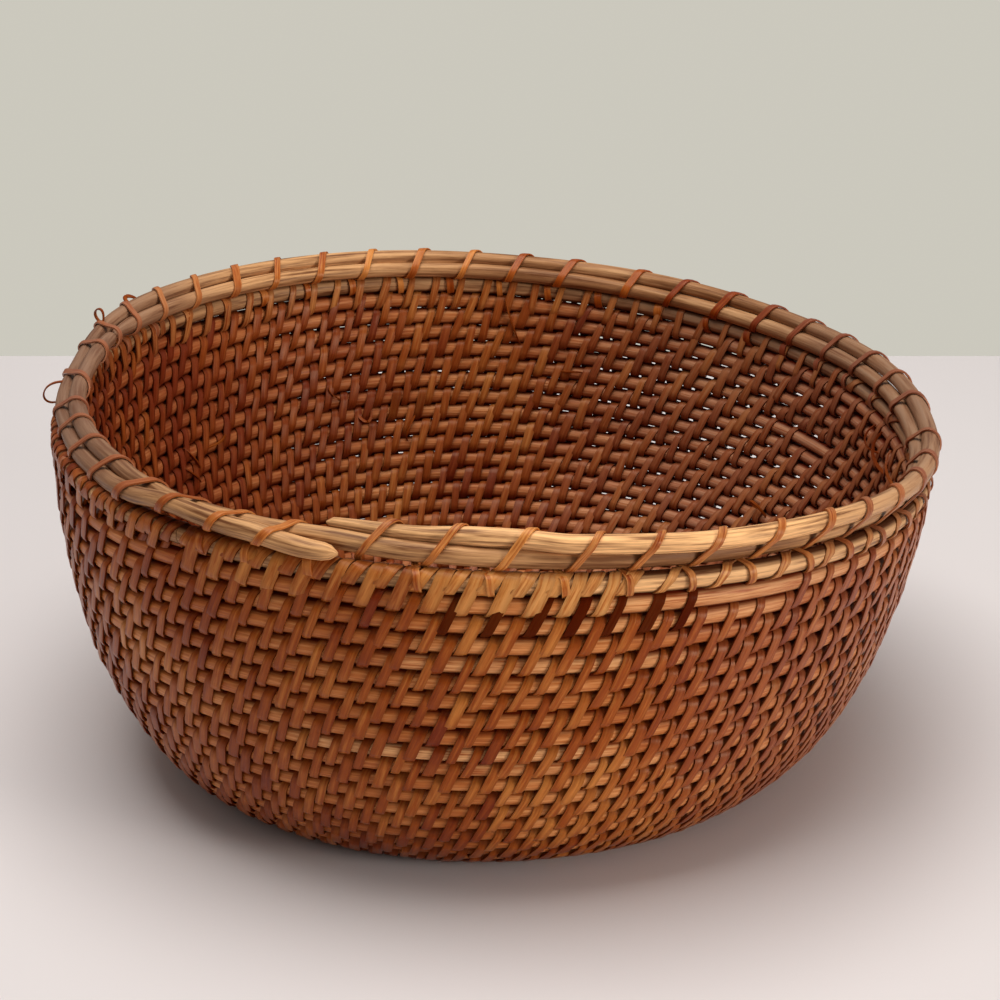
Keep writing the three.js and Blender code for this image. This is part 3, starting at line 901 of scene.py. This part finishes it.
def rim_piece(name, node, path, ends, thickness, tips, pale, tip_side=(0, 0)):
    """Rim cane from one plan angle to another, in degrees, rounded off and thinned at its tips."""
    least_cap = 0.02
    degrees = np.linspace(*ends, RIM_RINGS)
    angle = np.radians(degrees)
    turn = degrees / 360
    seat = path(degrees)
    outward = seat[:, 0] + waver(turn, RIM_OUT_SEED, RIM_WAVER)
    points = place(angle, HOOP_RADIUS + outward, HOOP_HEIGHT)
    points[:, 2] += seat[:, 1] + waver(turn, RIM_UP_SEED, RIM_WAVER)
    run = np.concatenate([[0], np.cumsum(np.linalg.norm(np.diff(points, axis=0), axis=1))])
    radius = (thickness(degrees) + RIM_FULLER) / 2 * (1 + waver(turn, RIM_UNEVEN_SEED, RIM_UNEVEN))
    for (rounding, left, growth), gone in zip(tips, (run, run[-1] - run)):
        cap = np.sqrt(1 - (1 - np.clip(gone / rounding, least_cap, 1)) ** 2)
        taper = left + (1 - left) * np.clip(gone / growth, 0, 1)
        points += in_plane(angle, *(side * radius * (1 - taper) for side in tip_side))
        radius = radius * cap * taper
    rings = rod_rings(points, *out_and_up(angle), radius)
    tone = waver(turn, RIM_TONE_SEED, RIM_TONE_WAVER) - dark_rim(angle)
    values = {
        # For the inner cane the tone is painted darker where the outer one lies over it: painted
        # shade
        "tone": tone - UNDER_SHADE_TONE * (rim_pale(angle) - pale(angle)),
        "pale": pale(angle),
        "dust_and_sheen": rim_dust(angle),
    }
    grid_piece(name, rings, rim_finish, (node,), values)


rim_piece(
    "rim_inner", "rim_cane_inner", inner_rim, INNER_RIM_ENDS, lambda degrees: ROD, INNER_RIM_TIPS,
    inner_rim_pale_and_shade, INNER_TIP_SIDE,
)
rim_piece(
    "rim_outer", "rim_cane_outer", outer_rim, OUTER_RIM_ENDS, outer_thickness, OUTER_RIM_TIPS,
    rim_pale,
)


def lash_outline(degrees, share):
    """Place from the hoop at a plan angle, and the strip's facing there, on a figure of eight: up
    inside the hoop, over both rim canes from outside, and down outside the hoop. share is the share
    of its length."""
    reach = (ROD + RIM_FULLER + STRIP_THICKNESS) / 2 + LASH_LIFT
    hoop_reach = (ROD + FULLER + STRIP_THICKNESS) / 2 + STRIP_THICKNESS
    arcs = [np.radians(np.linspace(first, last, ARC_STEPS)) for first, last in LASH_ARCS]
    up_hoop, over_rim, down_hoop = (np.stack([np.cos(arc), np.sin(arc)], axis=-1) for arc in arcs)
    canes = np.stack([inner_rim(degrees), outer_rim(degrees)], axis=1)
    farthest = np.argmax(canes @ over_rim.T, axis=1)
    round_rim = np.take_along_axis(canes, farthest[..., None], axis=1) + reach * over_rim
    before_rim, after_rim = (
        np.broadcast_to(hoop_reach * away, round_rim.shape) for away in (up_hoop, down_hoop)
    )
    outline = np.concatenate([before_rim, round_rim, after_rim], axis=1)
    steps = np.linalg.norm(np.diff(outline, axis=1), axis=-1)
    run = np.concatenate([np.zeros((len(degrees), 1)), np.cumsum(steps, axis=1)], axis=1)
    wanted = (share * run[:, -1])[:, None]
    after = np.clip((run < wanted).sum(axis=1), 1, outline.shape[1] - 1)[:, None]
    run_before, run_after = (np.take_along_axis(run, index, 1) for index in (after - 1, after))
    part = (wanted - run_before) / (run_after - run_before)
    before = np.take_along_axis(outline, after[..., None] - 1, 1)[:, 0]
    step = np.take_along_axis(outline, after[..., None], 1)[:, 0] - before
    facing = np.stack([step[:, 1], -step[:, 0]], axis=-1)
    return before + part * step, facing / np.linalg.norm(facing, axis=1, keepdims=True)


def lashing_piece(name, node, first_degrees, wraps, seed):
    """Strip wound in figures of eight round the rim canes and the hoop, even along the outline.
    Half of its way along the rim is made on the outside of the rim canes."""
    chance = np.random.default_rng(seed)
    number = np.repeat(np.arange(wraps), LASH_RINGS)
    share = np.tile(np.arange(LASH_RINGS) / LASH_RINGS, wraps)
    shift = chance.normal(0, LASH_SHIFT, wraps + 1)
    drift = shift[number] * (1 - share) + shift[number + 1] * share
    degrees = first_degrees + (number + from_table(share, LASH_MOVES) + drift) * LASH_STEP
    offset, facing = lash_outline(degrees, share)
    angle = np.radians(degrees)
    path = place(angle, HOOP_RADIUS, HOOP_HEIGHT) + in_plane(angle, offset[:, 0], offset[:, 1])
    face = in_plane(angle, facing[:, 0], facing[:, 1])
    width = LASH_WIDTH * chance.uniform(*LASH_WIDTHS, wraps)[number]
    rings = strip_rings(path, face, width)
    values = {
        "tone": chance.normal(LASH_TONE, 1, wraps)[number] - dark_lashing(angle),
        "pale": LASH_PALE * rim_pale(angle),
        "dust_and_sheen": rim_dust(angle),
    }
    grid_piece(name, rings, strip_finish, (node,), values)


LASH_SEED = 50
lash_degrees = LASH_START
for number, wraps in enumerate(LASH_WRAPS, 1):
    name, node = f"lashing_{number}", f"rim_lashing_{number}"
    lashing_piece(name, node, lash_degrees, wraps, LASH_SEED + number)
    lash_degrees += wraps * LASH_STEP + LASH_END_GAP


# Pieces: the loose ends

LOOSE_THICKNESS, LOOSE_CROWN = 0.4, 0.08
LOOSE_THINNED = 0.5  # share of its width that an end loses towards its tip
LOOSE_TONE = -0.5
LOOSE_STAIN, TIP_STAIN = 0.25, 0.3  # all along, and more at the tip
# Plan angle and height on the wall, width, side that lies across the end (along the wall or
# outward), and four stops from there: along the wall, outward and up
ALONG, OUTWARD = 0, 1
LOOSE_ENDS = (
    (149.5, 60, 1.5, OUTWARD, ((0, -2.5, 0), (-3, -6, -4), (-6, -6, -9), (-8, -3, -13))),
    (144, 57, 1.0, OUTWARD, ((0, -2.5, 0), (-3, -5, 1.5), (-7, -5, 1), (-10, -2.5, 3))),
    (151, 55, 1.5, OUTWARD, ((0, -2.5, 0), (-3, -6, -3), (-7, -6, -7), (-10, -3, -9))),
    (103, 55, 1.6, OUTWARD, ((0, -2.5, 0), (3, -7, -3), (5, -7, -7), (2, -3, -9))),
    (113, 57, 1.2, ALONG, ((0, -2.5, 0), (-1, -7, -3), (-4, -7, -3), (-5, -3, 1))),
    (117.8, 68, 1.3, OUTWARD, ((0, -2.5, 0), (3, -5, -2), (-3, -6, -5), (-5, -2.5, -7))),
    (88, 97, 1.7, OUTWARD, ((0, -2.5, 0), (-1, -6, -6), (-4, -6, -13), (-6, -3, -19))),
    (78, 73, 1.0, OUTWARD, ((0, -2.5, 0), (-3, -5, 0.5), (-6, -5, 1), (-8, -3, 0))),
    (35.5, 43, 1.4, OUTWARD, ((0, -2.5, 0), (3, -7, 4), (-3, -8, 6), (-5, -3, -2))),
    (-1, 86, 1.0, OUTWARD, ((0, -2.5, 0), (3, -6, 3), (5, -7, 7), (9, -4, 10))),
    (3, 84, 1.2, OUTWARD, ((0, -2.5, 0), (2, -7, 3), (6, -8, 8), (7, -3, 12))),
    (6, 88, 0.9, ALONG, ((0, -2.5, 0), (3, -9, 0), (4, -9, 6), (8, -3, 7))),
    (164, HOOP_HEIGHT, 1.4, ALONG, ((0, 3, 9), (-1, 10, 13), (1, 0, 18), (2, 2, 9.5))),
    (155.5, HOOP_HEIGHT, 1.6, ALONG, ((0, 3, 10), (3, 6, 13), (-4, 6, 13), (-5, 3, 10))),
    (181, HOOP_HEIGHT, 1.4, ALONG, ((0, 1, 7.6), (2, 9, 8.5), (3, 9, 0), (1, 2.8, 1.6))),
)


def loose_end(name, degrees, height, width, across, stops):
    """Loose end of a strip: a cubic Bezier over four stops beside a place on the wall, thinned
    towards its tip."""
    steps, share = bezier(stops, LOOSE_RINGS)
    angle = np.full(LOOSE_RINGS, math.radians(degrees))
    radius = np.interp(height, curve[:, 1], curve[:, 0])
    out, up = out_and_up(angle)
    along = np.cross(up, out)
    path = place(angle, radius, height)
    path += steps[:, :1] * along + steps[:, 1:2] * out + steps[:, 2:] * up
    side = (along, out)[across]
    facing = np.cross(side, np.gradient(path, axis=0))
    facing /= np.linalg.norm(facing, axis=1, keepdims=True)
    thinned = width * (1 - LOOSE_THINNED * share ** 2)
    rings = strip_rings(path, facing, thinned, LOOSE_THICKNESS, LOOSE_CROWN)
    values = {"tone": np.full_like(share, LOOSE_TONE), "stain_and_shade": LOOSE_STAIN + TIP_STAIN * share}
    grid_piece(name, rings, strip_finish, values=values)


for number, described in enumerate(LOOSE_ENDS, 1):
    loose_end(f"loose_end_{number}", *described)


# Stage: a plain pale floor that ends behind the basket, where the room's wall colour shows over it

FLOOR_HALF = 3.0
FLOOR_END = 0.394
FLOOR_COLOUR, FLOOR_ROUGHNESS = (0.70, 0.645, 0.625, 1), 0.6

floor_finish, tree, shader = new_material("pale_floor")
feed(tree, shader, {"Base Color": FLOOR_COLOUR, "Roughness": FLOOR_ROUGHNESS})
left, right, front, back = -FLOOR_HALF, FLOOR_HALF, -FLOOR_HALF, FLOOR_END
corners = [(left, front, 0), (right, front, 0), (right, back, 0), (left, back, 0)]
floor_mesh = bpy.data.meshes.new("floor")
floor_mesh.from_pydata(corners, [], [(0, 1, 2, 3)])
floor_mesh.materials.append(floor_finish)
floor = bpy.data.objects.new("floor", floor_mesh)
bpy.context.scene.collection.objects.link(floor)


# Light: a window at the front right, a soft ceiling, and a room that is brighter above

def area_light(name, place_at, aim, size, power, colour=(1, 1, 1)):
    """Square soft light at a place, turned to its aim."""
    data = bpy.data.lights.new(name, "AREA")
    data.size = size
    data.energy = power
    data.color = colour
    lamp = bpy.data.objects.new(name, data)
    lamp.location = place_at
    lamp.rotation_euler = (Vector(aim) - Vector(place_at)).to_track_quat("-Z", "Y").to_euler()
    bpy.context.scene.collection.objects.link(lamp)


area_light(
    "window", place_at=(1.6, -1.0, 0.40), aim=(0, 0, 0.08), size=0.6, power=19,
    colour=(1.0, 0.98, 0.95),
)
area_light("ceiling", place_at=(-0.12, -0.05, 1.55), aim=(0, 0, 0), size=1.2, power=23)

ROOM_COLOUR = (0.90, 0.89, 0.87, 1)
ROOM_HEIGHTS = (0.0, 0.8)  # upward parts of the directions where it is dimmest and brightest
ROOM_STRENGTHS = (0.13, 0.4)
WALL_COLOUR = (0.60, 0.58, 0.51, 1)  # seen by the camera instead of the room

world = bpy.data.worlds.new("studio")
bpy.context.scene.world = world
world.use_nodes = True
tree = world.node_tree
direction = add_node(tree, "ShaderNodeTexCoord").outputs["Generated"]
upward = add_node(tree, "ShaderNodeSeparateXYZ", {0: direction}).outputs["Z"]
strength = map_range(tree, upward, ROOM_HEIGHTS, ROOM_STRENGTHS)
room = tree.nodes["Background"]
feed(tree, room, {"Color": ROOM_COLOUR, "Strength": strength})
wall = add_node(tree, "ShaderNodeBackground", {"Color": WALL_COLOUR})
seen = add_node(tree, "ShaderNodeLightPath").outputs["Is Camera Ray"]
shaders = {0: seen, 1: room.outputs[0], 2: wall.outputs[0]}
either = add_node(tree, "ShaderNodeMixShader", shaders).outputs[0]
feed(tree, tree.nodes["World Output"], {"Surface": either})


# Camera: it stands in front of the end of the long side and looks down on the basket

CAMERA_ELEVATION = math.radians(19.66)
CAMERA_DISTANCE = 0.8417
CAMERA_TARGET = Vector((0.00365, 0, 0.0782))
CAMERA_DROP = 0.00515  # the view is aimed this much below the target, in its own plane
CAMERA_LENS = 96.55

backward = Vector((0, -math.cos(CAMERA_ELEVATION), math.sin(CAMERA_ELEVATION)))
view_up = Vector((0, math.sin(CAMERA_ELEVATION), math.cos(CAMERA_ELEVATION)))
eye = CAMERA_TARGET + backward * CAMERA_DISTANCE
aim = CAMERA_TARGET - view_up * CAMERA_DROP
camera_data = bpy.data.cameras.new("camera")
camera_data.lens = CAMERA_LENS
camera = bpy.data.objects.new("camera", camera_data)
camera.location = eye
camera.rotation_euler = (aim - eye).to_track_quat("-Z", "Y").to_euler()
bpy.context.scene.collection.objects.link(camera)
bpy.context.scene.camera = camera
bpy.context.scene.view_settings.view_transform = "Standard"
